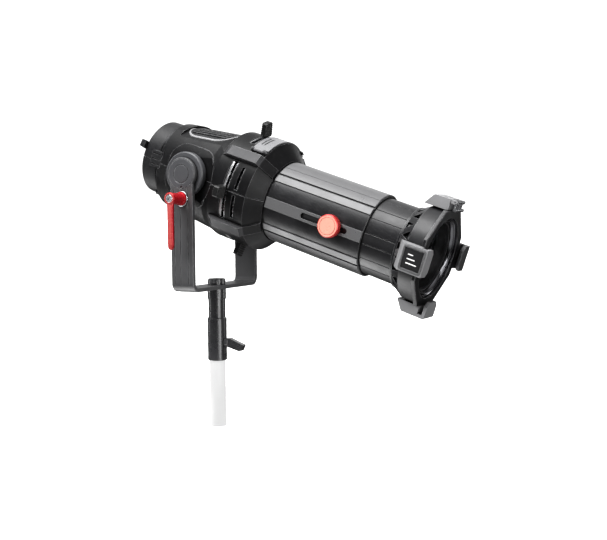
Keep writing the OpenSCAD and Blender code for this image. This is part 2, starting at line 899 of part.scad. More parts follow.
module gobo_cover() {
  color("#46474c") head() difference() {
    union() {
      sector(cover_x0, cover_x1, cover_in, cover_out, hinge_theta + 2.8, 180 - hinge_theta);
      // Thumb tab at the far front corner
      sector(cover_x1 - 1, cover_x1 + 4, cover_in + 0.4, cover_out - 0.4, 119, 125);
      hinge_place() rod(knuckle_x0, knuckle_x1, knuckle_r);
      // Web between the knuckle and the cover
      sector(knuckle_x0 + 0.5, knuckle_x1 - 0.5, cover_in + 0.5, cover_out - 0.4,
        hinge_theta + 1, hinge_theta + 4);
    }
    hinge_place() rod(cover_x0 - 1, cover_x1 + 1, hinge_pin_r + run_gap);
    sector(cover_x0 + 6, cover_x0 + 8, cover_out - 0.8, cover_out + 1, 60, 78);
    sector(cover_x0 + 11, cover_x0 + 13, cover_out - 0.8, cover_out + 1, 60, 78);
  }
}

module cover_hinge_pin() {
  color("#c4c7cc") head() hinge_place() rod(cover_x0 + 0.2, cover_x1 - 0.2, hinge_pin_r);
}

// ---------------------------------------------------------------- head: barrels

// Flat bars let into the barrel's side and diagonals
module flat_bar(theta, half_w, face) {
  at_theta(theta) translate([rib_start, -half_w, barrel_r - 2.2])
    cube([barrel_end - 0.8 - rib_start, 2 * half_w, face - barrel_r + 2.2]);
}

module outer_barrel() {
  slot_a = knob_x - focus_in;
  slot_b = knob_x + focus_out;
  color("#222327") head() difference() {
    union() {
      bevelled_tube(barrel_start, barrel_end, barrel_r, 0, 0.6);
      for (side = [0, 180]) {
        flat_bar(side, 8, barrel_face);
        flat_bar(side + 37, 5.4, barrel_face + 0.5);
        flat_bar(side - 37, 5.4, barrel_face + 0.5);
        sector(rib_start + 0.4, barrel_end - 1.2, barrel_r - 1.6, barrel_face, side + 46, side + 134);
        sector(rib_start + 1, barrel_end - 1.6, barrel_r - 1, barrel_face + 0.4, side + 60, side + 120);
      }
    }
    rod(barrel_start - 1, barrel_end + 1, bore_r);
    for (side = [0, 180], theta = [44.8, 135.2])
      sector(rib_start, barrel_end + 1, barrel_r - 1.2, barrel_r + 4,
        side + theta - 0.7, side + theta + 0.7);
    outward(50) linear_extrude(20) union() {
      translate([slot_a, -slot_half]) square([slot_b - slot_a, 2 * slot_half]);
      translate([slot_a, 0]) circle(r = slot_half, $fn = fine);
      translate([slot_b, 0]) circle(r = slot_half, $fn = fine);
    }
  }
}

// Collar that seats the fixed barrel inside the cone
module barrel_flange() {
  color("#2c2d30") head() tube(110.2, barrel_start - nest, 70, 50);
}

module inner_barrel() {
  color("#222327") head() difference() {
    bevelled_tube(slider_start, slider_end, slider_r, slider_r - slider_wall, 0.8);
    for (side = [0, 180], theta = [-46, -30, -8, 8, 30, 46, 68, 90])
      sector(slider_start - 1, ring_start, slider_r - 0.7, slider_r + 1,
        side + theta - 0.5, side + theta + 0.5);
    outward(50) translate([knob_x, 0]) cylinder(r = stud_r - 0.8 + nest, h = 10);
  }
}

module focus_stud() {
  color("#c4c7cc") head() translate([knob_x, 0, 0]) {
    outward(slider_r + 0.2) cylinder(r = stud_r, h = knob_back - 0.5 - slider_r - 0.2);
    outward(slider_r - slider_wall + 0.5) cylinder(r = stud_r - 0.8, h = slider_wall);
    outward(knob_back - 0.6) cylinder(r = knob_pin_r, h = 7);
  }
}

// Knurled knob: a ring of teeth between two smooth rims
module focus_knob() {
  teeth = 40;
  color("#e2605a") head() translate([knob_x, 0, 0]) difference() {
    union() {
      outward(knob_back) linear_extrude(knob_face - knob_back - 2) polygon([for (i = [0 : 2 * teeth - 1])
        (knob_r - (i % 2) * 0.9) * [cos(180 * i / teeth), sin(180 * i / teeth)]]);
      outward(knob_face - 2.2) button(knob_r - 0.2, 2.2, 1.4);
    }
    outward(knob_back - 1) cylinder(r = knob_pin_r + run_gap, h = 8);
    outward(knob_face - 0.7) difference() {
      cylinder(r = 12.6, h = 2);
      translate([0, 0, -1]) cylinder(r = 11.8, h = 4);
    }
  }
}

module projection_lens_rear() {
  color("#dfe9ee") head() lens(lens_rear, lens_r, lens_edge, 11);
}

module projection_lens_front() {
  color("#dfe9ee") head() lens(lens_front, lens_r, lens_edge, 10);
}

module lens_rings() {
  color("#101113") head() {
    for (x = [lens_rear, lens_front]) tube(x - 5, x - nest, lens_r + 0.1, 47);
    tube(375, 380, lens_r + 0.1, 49.5);
  }
}

// ---------------------------------------------------------------- head: front holder

// Ring with a conical web of triangular openings back to the sliding barrel
module front_ring() {
  openings = 24;
  step = 360 / openings;
  web_start = ring_start - 17;
  color("#2a2b2f") head() difference() {
    lathe([[slider_r + nest, web_start], [slider_r + 2.6, web_start], [slider_r + 2.6, web_start + 3],
      [ring_r - 1, ring_start], [ring_r, ring_start + 1], [ring_r, plate_front - plate_t - nest],
      [slider_r + 4, plate_front - plate_t - nest], [slider_r + 4, plate_front - plate_t - 6],
      [ring_r - 3.5, plate_front - plate_t - 6], [ring_r - 3.5, ring_start + 3],
      [slider_r + nest, web_start + 5]]);
    for (i = [0 : openings - 1]) at_theta((i + 0.5) * step)
      translate([web_start + 3.6, 0, 50]) linear_extrude(30)
        polygon(i % 2 == 0 ? [[0, -5.6], [12.4, 0], [0, 5.6]] : [[12.4, -6.6], [0.8, 0], [12.4, 6.6]]);
  }
}

module octagon(apothem) {
  rotate(22.5) circle(r = apothem / cos(22.5), $fn = 8);
}

module front_plate() {
  color("#33343a") head() difference() {
    along(plate_front - plate_t) union() {
      linear_extrude(plate_t - 0.8) octagon(ring_r + 0.1);
      translate([0, 0, plate_t - 0.8]) linear_extrude(0.8) octagon(ring_r - 0.6);
    }
    rod(plate_front - plate_t - 1, plate_front + 1, mouth_r);
  }
}

// Side outline of a bracket as [x, radius]
module bracket_outline(lip) {
  base = ring_r + 0.25;
  heel = lip ? ring_start - 6 : ring_start - 10;
  if (lip)
    polygon([[heel, base], [heel + 9.5, holder_r - 1.4], [heel + 11.5, holder_r],
      [holder_front - 1.2, holder_r], [holder_front, holder_r - 1.2], [holder_front, 61.5],
      [holder_front - 1, 60.5], [lip_back, 60.5], [lip_back, frame_r], [plate_front, frame_r],
      [plate_front, base]]);
  else
    polygon([[heel, base], [heel + 10, holder_r - 1.4], [heel + 12, holder_r], [top_face - 1.2, holder_r],
      [top_face, holder_r - 1.2], [top_face, base]]);
}

module bracket(lip) {
  difference() {
    translate([0, bracket_half_w, 0]) rotate([90, 0, 0]) linear_extrude(2 * bracket_half_w)
      bracket_outline(lip);
    // Corners of the lip
    for (s = [-1, 1]) translate([lip_back - 0.01, s * bracket_half_w, 60.5]) rotate([45, 0, 0])
      translate([0, -5, -5]) cube([lip_t + 1, 10, 10]);
  }
}

// Round bar from y0 to y1 across the head
module crossbar(x, z, y0, y1, r) {
  translate([x, y1, z]) rotate([90, 0, 0]) cylinder(r = r, h = y1 - y0, $fn = fine);
}

module bracket_top() {
  color("#3d3e43") head() difference() {
    union() {
      bracket(false);
      // Lugs for the latch's pin
      for (s = [-1, 1]) {
        translate([top_face - 1, s * lug_y - lug_w / 2, latch_z - 3])
          cube([latch_x - top_face + 1, lug_w, 5.5]);
        crossbar(latch_x, latch_z, s * lug_y - lug_w / 2, s * lug_y + lug_w / 2, 2.5);
      }
    }
    crossbar(latch_x, latch_z, -30, 30, latch_pin_r + nest);
    // Shallow screw recesses
    for (s = [-1, 1]) translate([376, 9 * s, holder_r - 1.5]) cylinder(r = 2.6, h = 4, $fn = fine);
  }
}

module bracket_near() {
  color("#3d3e43") head() difference() {
    rotate([90, 0, 0]) bracket(true);
    outward(holder_r - 1) translate([label_x, 0]) linear_extrude(4) rounded(label_w + 1, label_h + 1, 0.8);
  }
}

module bracket_bottom() {
  color("#3d3e43") head() rotate([180, 0, 0]) bracket(true);
}

module bracket_far() {
  color("#3d3e43") head() rotate([-90, 0, 0]) bracket(true);
}

// Plain plate with three engraved bars of falling length
module label_plate() {
  color("#1a1b1d") head() outward(holder_r - 1) translate([label_x, 0]) difference() {
    linear_extrude(0.8) rounded(label_w, label_h, 0.6);
    for (i = [0 : 2]) translate([-8, -7 + 6 * i, 0.5]) cube([16 - 4 * i, 1.6, 1]);
  }
}

// Sprung latch that closes the frame slot at the top
module frame_latch() {
  latch_drop = 11;
  color("#9a9da3") head() difference() {
    union() {
      crossbar(latch_x, latch_z, -latch_half_l, latch_half_l, 2.6);
      translate([latch_x - 1, -latch_half_l, latch_z - latch_drop])
        cube([2.2, 2 * latch_half_l, latch_drop]);
      crossbar(latch_x + 0.6, latch_z - latch_drop, -latch_half_l, 20, 2.4);
    }
    crossbar(latch_x, latch_z, -30, 30, latch_pin_r + run_gap);
  }
}

module latch_pin() {
  half_l = lug_y + lug_w / 2 - 0.1;
  color("#c4c7cc") head() crossbar(latch_x, latch_z, -half_l, half_l, latch_pin_r);
}

stand_receiver();
receiver_collar();
yoke_bracket();
yoke_bolt();
yoke_cap_nut();
stand_clamp_screw();
stand_clamp_lever();
pivot_bushes();
friction_discs();
pivot_caps();
tilt_lever();
tilt_screw();
tilt_washer();
tilt_brake_shoe();
pivot_rings();
pivot_bolts();
upper_housing();
lower_housing();
housing_screws();
vent_grille();
rear_drum_upper();
rear_drum_lower();
rear_flange_ring();
bayonet_plate();
mount_lock_button();
mount_lock_spring();
condenser_cell();
condenser_lens_rear();
condenser_lens_front();
condenser_rings();
gate_plate();
shutter_guides();
gobo_guide();
gobo_cover();
cover_hinge_pin();
shutter_blade_top();
shutter_blade_bottom();
shutter_blade_near();
shutter_blade_far();
shutter_grip_top();
shutter_grip_bottom();
shutter_grip_near();
shutter_grip_far();
outer_barrel();
barrel_flange();
inner_barrel();
focus_stud();
focus_knob();
projection_lens_rear();
projection_lens_front();
lens_rings();
front_ring();
front_plate();
bracket_top();
bracket_near();
bracket_bottom();
bracket_far();
label_plate();
frame_latch();
latch_pin();
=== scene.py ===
"""Looks, camera and light of the ellipsoidal spotlight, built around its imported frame.

Lengths inside helpers are millimetres in the head's own frame (pivot at the origin, optical
axis +X) or in the row frame, and become metres when a piece's mesh is written.
"""

import json
import math

import bmesh
import bpy
from mathutils import Matrix, Vector


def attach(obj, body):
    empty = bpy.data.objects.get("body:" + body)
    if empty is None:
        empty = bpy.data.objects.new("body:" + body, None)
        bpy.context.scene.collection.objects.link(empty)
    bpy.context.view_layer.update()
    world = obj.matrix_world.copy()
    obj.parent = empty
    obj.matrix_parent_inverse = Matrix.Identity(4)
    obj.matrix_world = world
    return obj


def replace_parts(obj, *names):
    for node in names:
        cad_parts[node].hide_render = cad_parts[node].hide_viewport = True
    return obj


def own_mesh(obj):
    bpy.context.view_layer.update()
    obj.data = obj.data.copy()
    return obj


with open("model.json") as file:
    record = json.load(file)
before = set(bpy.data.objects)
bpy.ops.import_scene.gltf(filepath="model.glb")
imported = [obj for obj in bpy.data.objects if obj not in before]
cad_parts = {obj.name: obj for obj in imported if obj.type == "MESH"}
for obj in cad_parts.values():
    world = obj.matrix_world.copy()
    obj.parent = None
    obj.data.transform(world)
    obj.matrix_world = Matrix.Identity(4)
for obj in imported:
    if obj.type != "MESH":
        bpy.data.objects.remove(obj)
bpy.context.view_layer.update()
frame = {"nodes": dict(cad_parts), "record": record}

MM = 0.001
PIVOT_Z = 290.0
HEAD_TILT = 18.5
ROW = Matrix.Scale(MM, 4)
PIVOT = Vector((0, 0, PIVOT_Z * MM))
AXIS = Vector((math.cos(math.radians(HEAD_TILT)), 0, -math.sin(math.radians(HEAD_TILT))))
HEAD = ROW @ Matrix.Translation((0, 0, PIVOT_Z)) @ Matrix.Rotation(math.radians(HEAD_TILT), 4, "Y")

# ---------------------------------------------------------------- materials

# Turn of the rounded normal on a flat and on a sharp edge
FLAT_DOT = 0.96
EDGE_DOT = 0.78
# Share of the surroundings seen from an open face and from deep in a groove of this width
OPEN_SHARE = 0.92
DEEP_SHARE = 0.55
GROOVE = 0.004
DUST = (0.20, 0.20, 0.205)
# Colour of edges lightened partly by wear, partly as a painted highlight
EDGE_WEAR_AND_HIGHLIGHT = (0.34, 0.34, 0.35)
# Colour of the painted shade deep in grooves and corners
RECESS_SHADE = (0.002, 0.002, 0.002)
RUBBED_RED = (0.95, 0.60, 0.55)


class Graph:
    """A few short calls for wiring one material's nodes."""

    def __init__(self, name):
        self.material = bpy.data.materials.new(name)
        self.material.use_nodes = True
        self.tree = self.material.node_tree
        self.shader = self.tree.nodes["Principled BSDF"]
        self.place = self.add("ShaderNodeTexCoord").outputs["Object"]

    def add(self, kind, **values):
        node = self.tree.nodes.new(kind)
        for key, value in values.items():
            setattr(node, key, value)
        return node

    def link(self, source, target):
        self.tree.links.new(source, target)

    def stretched(self, scale):
        mapping = self.add("ShaderNodeMapping")
        mapping.inputs["Scale"].default_value = scale
        self.link(self.place, mapping.inputs["Vector"])
        return mapping.outputs["Vector"]

    def noise(self, scale, detail=3.0, roughness=0.55, place=None):
        node = self.add("ShaderNodeTexNoise")
        node.inputs["Scale"].default_value = scale
        node.inputs["Detail"].default_value = detail
        node.inputs["Roughness"].default_value = roughness
        self.link(place or self.place, node.inputs["Vector"])
        return node.outputs["Fac"]

    def ramp(self, source, low, high, to_low=0.0, to_high=1.0):
        node = self.add("ShaderNodeMapRange", clamp=True)
        limits = {"From Min": low, "From Max": high, "To Min": to_low, "To Max": to_high}
        for key, value in limits.items():
            node.inputs[key].default_value = value
        self.link(source, node.inputs["Value"])
        return node.outputs["Result"]

    def math(self, operation, a, b):
        node = self.add("ShaderNodeMath", operation=operation)
        for socket, value in zip(node.inputs, (a, b)):
            if isinstance(value, (int, float)):
                socket.default_value = value
            else:
                self.link(value, socket)
        return node.outputs["Value"]

    def mix(self, factor, a, b):
        """Mixes two colours, each a tuple or an output."""
        node = self.add("ShaderNodeMix", data_type="RGBA")
        self.link(factor, node.inputs["Factor"])
        for name, value in (("A", a), ("B", b)):
            socket = [s for s in node.inputs if s.name == name and s.type == "RGBA"][0]
            if isinstance(value, tuple):
                socket.default_value = (*value, 1)
            else:
                self.link(value, socket)
        return [s for s in node.outputs if s.type == "RGBA"][0]

    def edges(self, radius):
        """1 on outer edges, 0 on flats, and the rounded normal that goes with it."""
        bevel = self.add("ShaderNodeBevel", samples=4)
        bevel.inputs["Radius"].default_value = radius
        normal = self.add("ShaderNodeNewGeometry").outputs["Normal"]
        dot = self.add("ShaderNodeVectorMath", operation="DOT_PRODUCT")
        self.link(bevel.outputs["Normal"], dot.inputs[0])
        self.link(normal, dot.inputs[1])
        return self.ramp(dot.outputs["Value"], FLAT_DOT, EDGE_DOT), bevel.outputs["Normal"]

    def vector(self, operation, a, b, output="Vector"):
        node = self.add("ShaderNodeVectorMath", operation=operation)
        for socket, value in zip(node.inputs, (a, b)):
            if isinstance(value, Vector):
                socket.default_value = value
            else:
                self.link(value, socket)
        return node.outputs[output]

    def from_axis(self):
        """The vector from the head's optical axis to the point."""
        offset = self.vector("SUBTRACT", self.place, PIVOT)
        return self.vector("SUBTRACT", offset, self.vector("PROJECT", offset, AXIS))

    def recess(self, reach):
        """1 deep in grooves and corners narrower than reach, 0 on open faces."""
        node = self.add("ShaderNodeAmbientOcclusion", samples=8)
        node.inputs["Distance"].default_value = reach
        return self.ramp(node.outputs["AO"], OPEN_SHARE, DEEP_SHARE)

    def bump(self, height, depth, normal=None):
        node = self.add("ShaderNodeBump")
        node.inputs["Strength"].default_value = 1.0
        node.inputs["Distance"].default_value = depth
        self.link(height, node.inputs["Height"])
        if normal is not None:
            self.link(normal, node.inputs["Normal"])
        return node.outputs["Normal"]

    def finish(self, colour, roughness, normal, **uniform):
        self.link(colour, self.shader.inputs["Base Color"])
        self.link(roughness, self.shader.inputs["Roughness"])
        self.link(normal, self.shader.inputs["Normal"])
        for key, value in uniform.items():
            self.shader.inputs[key.replace("_", " ")].default_value = value
        return self.material


def shade(colour, factor):
    """The colour, this many times as light."""
    return tuple(min(1.0, c * factor) for c in colour)


def painted(name, colour, rough, worn=0.5, grain=1100, depth=0.000008, patchy=0.3, coat=0.0, gloss=0.6,
            edge=0.0009, recess_shade=0.8, raised_highlight=None, inside=None):
    """Baked or powder paint: fine orange peel, handling marks, edges lightened by wear and a painted
    highlight, painted shade in grooves.

    A painted highlight, given as [radius, half of the blend, colour], lightens what stands that far from
    the head's axis; inside is the colour of a painted shade on the faces that look at the axis.
    """
    g = Graph(name)
    cloud = g.ramp(g.noise(22, 4), 0.3, 0.7)
    base = g.mix(cloud, shade(colour, 1 - patchy), shade(colour, 1 + patchy))
    # Painted highlight: a paler colour on what stands beyond the given distance from the head's axis
    if raised_highlight:
        radius, blend, highlight_colour = raised_highlight
        reach = g.vector("LENGTH", g.from_axis(), Vector(), "Value")
        base = g.mix(g.ramp(reach, radius - blend, radius + blend), base, highlight_colour)
    # Painted shade: a dark colour on the faces that look at the head's axis
    if inside:
        normal = g.add("ShaderNodeTexCoord").outputs["Normal"]
        outlook = g.vector("DOT_PRODUCT", g.from_axis(), normal, "Value")
        base = g.mix(g.ramp(outlook, -0.02, -0.05), base, inside)
    dust = g.math("MULTIPLY", g.ramp(g.noise(130, 5, 0.7), 0.56, 0.78), 0.05)
    base = g.mix(dust, base, DUST)
    rim, rounded = g.edges(edge)
    # Edges lightened partly by wear, partly as a painted highlight
    rubbed = g.math("MULTIPLY", rim, g.ramp(g.noise(60, 4, 0.7), 0.42, 0.62, 0.35, 1.0))
    base = g.mix(g.math("MULTIPLY", rubbed, worn), base, EDGE_WEAR_AND_HIGHLIGHT)
    # Painted shade: darker deep in grooves and corners, where shade falls
    base = g.mix(g.math("MULTIPLY", g.recess(GROOVE), recess_shade), base, RECESS_SHADE)
    smudge = g.ramp(g.noise(38, 5, 0.65), 0.32, 0.7, rough - 0.07, rough + 0.09)
    peel = g.bump(g.noise(grain, 2, 0.5), depth, rounded)
    return g.finish(base, smudge, peel, Coat_Weight=coat, Coat_Roughness=0.2, Specular_IOR_Level=gloss)


def metal(name, colour, rough, brushed=(1, 1, 1), depth=0.00002):
    """Turned or ground metal: fine lines along the stretched direction, slight tarnish."""
    g = Graph(name)
    lines = g.noise(420, 4, 0.6, g.stretched(brushed))
    tarnish = g.ramp(g.noise(45, 4, 0.6), 0.35, 0.75)
    base = g.mix(tarnish, colour, shade(colour, 0.72))
    rim, rounded = g.edges(0.0004)
    base = g.mix(g.math("MULTIPLY", rim, 0.5), base, shade(colour, 1.35))
    rubbed = g.ramp(lines, 0.3, 0.7, rough - 0.08, rough + 0.1)
    return g.finish(base, rubbed, g.bump(lines, depth, rounded), Metallic=1.0)


def plastic(name, colour, rough, mark=0.12, grain=900, depth=0.00002, worn=0.3, pale=None):
    """Moulded plastic: fine texture, slight unevenness of colour, scuffed edges."""
    g = Graph(name)
    cloud = g.ramp(g.noise(35, 3), 0.3, 0.7)
    base = g.mix(cloud, shade(colour, 1 - mark), shade(colour, 1 + mark))
    rim, rounded = g.edges(0.0008)
    scuff = g.math("MULTIPLY", rim, g.ramp(g.noise(85, 4, 0.7), 0.35, 0.6, 0.3, 1.0))
    base = g.mix(g.math("MULTIPLY", scuff, worn), base, pale or shade(colour, 2.2))
    sheen = g.ramp(g.noise(60, 4, 0.6), 0.3, 0.7, rough - 0.05, rough + 0.08)
    return g.finish(base, sheen, g.bump(g.noise(grain, 2), depth, rounded))


def anodised(name, colour, rough, face):
    """Dyed anodised metal, rubbed at its edges, with a painted highlight: paler on the faces that look
    sideways to -Y.
    """
    g = Graph(name)
    cloud = g.ramp(g.noise(40, 3), 0.3, 0.7)
    base = g.mix(cloud, shade(colour, 0.88), shade(colour, 1.1))
    split = g.add("ShaderNodeSeparateXYZ")
    g.link(g.add("ShaderNodeTexCoord").outputs["Normal"], split.inputs["Vector"])
    # Painted highlight: paler on the faces turned to -Y
    base = g.mix(g.ramp(split.outputs["Y"], -0.72, -0.97), base, face)
    rim, rounded = g.edges(0.0007)
    rubbed = g.math("MULTIPLY", rim, g.ramp(g.noise(90, 4, 0.7), 0.35, 0.6, 0.35, 1.0))
    base = g.mix(g.math("MULTIPLY", rubbed, 0.35), base, RUBBED_RED)
    sheen = g.ramp(g.noise(70, 4, 0.6), 0.3, 0.7, rough - 0.05, rough + 0.07)
    blasted = g.bump(g.noise(1300, 2), 0.000012, rounded)
    return g.finish(base, sheen, blasted, Metallic=0.25, Coat_Weight=0.3, Coat_Roughness=0.15)


def glass(name):
    """Coated optical glass with a trace of dust."""
    g = Graph(name)
    film = g.ramp(g.noise(30, 3), 0.3, 0.7)
    base = g.mix(film, (0.86, 0.93, 0.97), (0.93, 0.90, 0.98))
    dust = g.ramp(g.noise(210, 4, 0.7), 0.45, 0.8, 0.0, 0.02)
    return g.finish(base, dust, g.bump(g.noise(60, 1), 0.00000005), Transmission_Weight=1.0, IOR=1.52)


# Distance from the head's axis, in metres, beyond which the raised bars begin and get a painted highlight
BARREL_FACE = 0.0607
RIB_FACE = 0.0845

FINISHES = {
    "stand_black": painted("stand_paint", (0.030, 0.030, 0.032), 0.28, coat=0.6, gloss=0.9),
    "yoke_black": painted("yoke_paint", (0.058, 0.058, 0.060), 0.38, worn=1.0, patchy=0.15, edge=0.0014),
    "steel": metal("plated_steel", (0.66, 0.67, 0.69), 0.26, (1, 0.2, 1)),
    "bronze": metal("bush_bronze", (0.60, 0.42, 0.20), 0.38),
    "nylon": plastic("washer_nylon", (0.74, 0.72, 0.66), 0.5),
    "disc_grey": painted("disc_paint", (0.055, 0.056, 0.060), 0.36, worn=1.0, patchy=0.12, edge=0.0013),
    # Its last colour is a painted highlight on the faces turned to -Y
    "lever_red": anodised("lever_red_metal", (0.40, 0.010, 0.018), 0.24, (0.44, 0.072, 0.068)),
    # The housing's raised faces get a painted highlight
    "housing_black": painted("housing_paint", (0.006, 0.006, 0.0065), 0.40, worn=1.0, grain=900,
                             depth=0.000014, gloss=0.3, edge=0.0014,
                             raised_highlight=[RIB_FACE, 0.0006, (0.045, 0.045, 0.047)]),
    "drum_black": painted("drum_paint", (0.013, 0.013, 0.014), 0.42, worn=0.8, gloss=0.5, edge=0.0012),
    "flange_metal": metal("flange_alloy", (0.05, 0.05, 0.052), 0.34, (1, 1, 0.3)),
    "grille_black": painted("grille_paint", (0.012, 0.012, 0.013), 0.42),
    # The barrel's raised bars get a painted highlight
    "barrel_black": painted("barrel_paint", (0.011, 0.011, 0.012), 0.34, grain=1900, gloss=0.8,
                            raised_highlight=[BARREL_FACE, 0.0002, (0.085, 0.085, 0.087)]),
    "ring_black": painted("ring_paint", (0.007, 0.007, 0.008), 0.36, worn=0.9, gloss=0.8, edge=0.0012),
    "inner_black": painted("inner_paint", (0.009, 0.009, 0.010), 0.44),
    "grip_black": plastic("grip_plastic", (0.008, 0.008, 0.008), 0.42, worn=0.8, pale=(0.25, 0.25, 0.25)),
    # Its last colour is a painted highlight on the faces turned to -Y
    "knob_red": anodised("knob_red_metal", (0.46, 0.024, 0.024), 0.30, (0.82, 0.35, 0.27)),
    "optical_glass": glass("lens_glass"),
    "plate_black": painted("plate_paint", (0.014, 0.014, 0.015), 0.44),
}

# Painted light and shade on the brackets: a paler, lit copy of the black paint for the near, top and
# bottom brackets, with painted shade on their inner faces, and a darker, shaded copy for the far bracket
LIT_PLATE = painted("bracket_paint", (0.18, 0.18, 0.184), 0.40, worn=0.5, patchy=0.10,
                      inside=(0.02, 0.02, 0.02))
SHADED_PLATE = painted("far_bracket_painted_shade", (0.035, 0.035, 0.036), 0.40, worn=1.0, patchy=0.10,
                       edge=0.0014)
POLISHED = metal("bezel_metal", (0.16, 0.16, 0.17), 0.16, (0.3, 1, 1))
# Painted highlight: the vent's rim is painted pale
RIM_HIGHLIGHT = painted("rim_painted_highlight", (0.20, 0.20, 0.204), 0.3, patchy=0.1, recess_shade=0)
# Painted light: the gobo cover is a paler copy of the housing's black paint, lit on top
LIT_COVER = painted("cover_painted_light", (0.15, 0.15, 0.155), 0.36, worn=0.9, patchy=0.15, edge=0.0012)
FRAME_PAINT = painted("label_frame_paint", (0.075, 0.075, 0.077), 0.36, worn=0.8, patchy=0.10)
ENAMEL = plastic("mark_enamel", (0.78, 0.78, 0.77), 0.4, mark=0.04)
STRIP_STEEL = metal("strip_steel", (0.75, 0.75, 0.76), 0.36, (0.2, 1, 1), depth=0.000004)
# Parts painted with a lit or shaded copy of their paint in place of their slot's finish
LIT_AND_SHADED = {name: LIT_PLATE for name in ("bracket_near", "bracket_top", "bracket_bottom")}
LIT_AND_SHADED["bracket_far"] = SHADED_PLATE
LIT_AND_SHADED["gobo_cover"] = LIT_COVER

for part in frame["record"]["subparts"]:
    node = frame["nodes"][part["node"]]
    node.data.materials.clear()
    node.data.materials.append(LIT_AND_SHADED.get(part["node"], FINISHES[part["material_slot"]]))

# ---------------------------------------------------------------- piece building


# Turns local +Z into the head's +X
ALONG = Matrix(((0, 0, 1, 0), (1, 0, 0, 0), (0, 1, 0, 0), (0, 0, 0, 1)))


def outward(x, y, z):
    """Local +Z points away from the centre plane, to the lever side."""
    return Matrix.Translation((x, y, z)) @ Matrix.Rotation(math.radians(90), 4, "X")


def around(theta, x, radius):
    """Local +Z points outward at angle theta about the head's axis, local +X along it."""
    return Matrix.Rotation(math.radians(90 - theta), 4, "X") @ Matrix.Translation((x, 0, radius))


def ring_of(body, place, points):
    """Adds a vertex at each point, moved by place."""
    return [body.verts.new(place @ Vector(p)) for p in points]


def skin(body, rings, closed_ends=True):
    """Joins rings of equal length with quads, in order."""
    for low, high in zip(rings, rings[1:]):
        for i in range(len(low)):
            j = (i + 1) % len(low)
            body.faces.new((low[i], low[j], high[j], high[i]))
    if closed_ends:
        body.faces.new(list(reversed(rings[0])))
        body.faces.new(rings[-1])


def circle(radius, z, count=48):
    return outline(lambda a: radius, z, count)


def outline(reach, z, count=48):
    """A closed outline whose distance from the centre is reach(angle)."""
    angles = [2 * math.pi * i / count for i in range(count)]
    return [(reach(a) * math.cos(a), reach(a) * math.sin(a), z) for a in angles]


def turned(body, place, profile):
    """A solid of revolution from [radius, height] pairs."""
    skin(body, [ring_of(body, place, circle(r, z, 64)) for r, z in profile])


def hollow(body, place, profile, count):
    """A ring-shaped solid: the [radius, height] profile closes on itself."""
    rings = [ring_of(body, place, circle(r, z, count)) for r, z in profile]
    skin(body, rings + rings[:1], closed_ends=False)


def hexagon(across):
    """The outline of a hexagon this wide across its flats."""
    return lambda a: across / 2 / math.cos((a + math.pi / 6) % (math.pi / 3) - math.pi / 6)


def cross(length, half_width):
    """The outline of a cross with arms this long."""

    def reach(a):
        turn = (a + math.pi / 4) % (math.pi / 2) - math.pi / 4
        end = length / math.cos(turn)
        side = half_width / max(abs(math.sin(turn)), 1e-6)
        return max(min(end, side), half_width * 1.2)

    return reach


def screw(body, place, radius, height, recess, depth):
    """A screw head with a recess cut to the outline recess(angle)."""
    edge = radius * 0.16
    rings = [circle(radius, 0), circle(radius, height - edge), circle(radius - edge, height)]
    rings += [outline(recess, height), outline(lambda a: recess(a) * 0.92, height - depth)]
    skin(body, [ring_of(body, place, r) for r in rings])


def block(body, place, size, bevel):
    """A box of the given size centred on place, all edges broken."""
    made = bmesh.ops.create_cube(body, size=1.0, matrix=place @ Matrix.Diagonal((*size, 1)))
    edges = {e for v in made["verts"] for e in v.link_edges}
    bmesh.ops.bevel(body, geom=list(edges), offset=bevel, segments=1, profile=0.5, affect="EDGES")


def wire(body, points, radius, count):
    """A round wire through the points."""
    rings = []
    for i, p in enumerate(points):
        before = points[max(i - 1, 0)]
        after = points[min(i + 1, len(points) - 1)]
        aim = (Vector(after) - Vector(before)).to_track_quat("Z", "Y").to_matrix().to_4x4()
        rings.append(ring_of(body, Matrix.Translation(p) @ aim, circle(radius, 0, count)))
    skin(body, rings)


def piece(name, build, place, body, slot, material=None, smooth=35):
    """Builds a piece in millimetres, places it, and lets it ride on a CAD body."""
    mesh = bpy.data.meshes.new(name)
    shape = bmesh.new()
    build(shape)
    bmesh.ops.recalc_face_normals(shape, faces=shape.faces)
    shape.transform(place)
    for face in shape.faces:
        face.smooth = True
    for edge in shape.edges:
        if len(edge.link_faces) == 2 and edge.calc_face_angle(0) > math.radians(smooth):
            edge.smooth = False
    shape.to_mesh(mesh)
    shape.free()
    made = bpy.data.objects.new(name, mesh)
    bpy.context.scene.collection.objects.link(made)
    mesh.materials.append(material or FINISHES[slot])
    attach(made, body)
    return made


# ---------------------------------------------------------------- added pieces


def on_axis(x, radius, theta):
    """A point of the head, at angle theta from the lever side up over the top."""
    turn = math.radians(theta)
    return (x, -radius * math.cos(turn), radius * math.sin(turn))


BROKEN = 0.3


def band(body, x0, x1, inner, outer, theta0, theta1, steps):
    """Part of a ring about the head's axis, with its outer edges broken."""
    section = [(x0, inner), (x1, inner), (x1, outer - BROKEN), (x1 - BROKEN, outer), (x0 + BROKEN, outer),
               (x0, outer - BROKEN)]
    rings = []
    for i in range(steps + 1):
        theta = theta0 + (theta1 - theta0) * i / steps
        rings.append([body.verts.new(on_axis(x, r, theta)) for x, r in section])
    skin(body, rings)


def rounded_path(half_x, half_y, corner, count=10):
    """Points round a rectangle with round corners, each with its outward direction."""
    points = []
    for i, (sx, sy) in enumerate([(1, 1), (-1, 1), (-1, -1), (1, -1)]):
        for k in range(count + 1):
            a = math.radians(90 * i + 90 * k / count)
            out = (math.cos(a), math.sin(a))
            x = sx * (half_x - corner) + corner * out[0]
            y = sy * (half_y - corner) + corner * out[1]
            points.append((x, y, out))
    return points


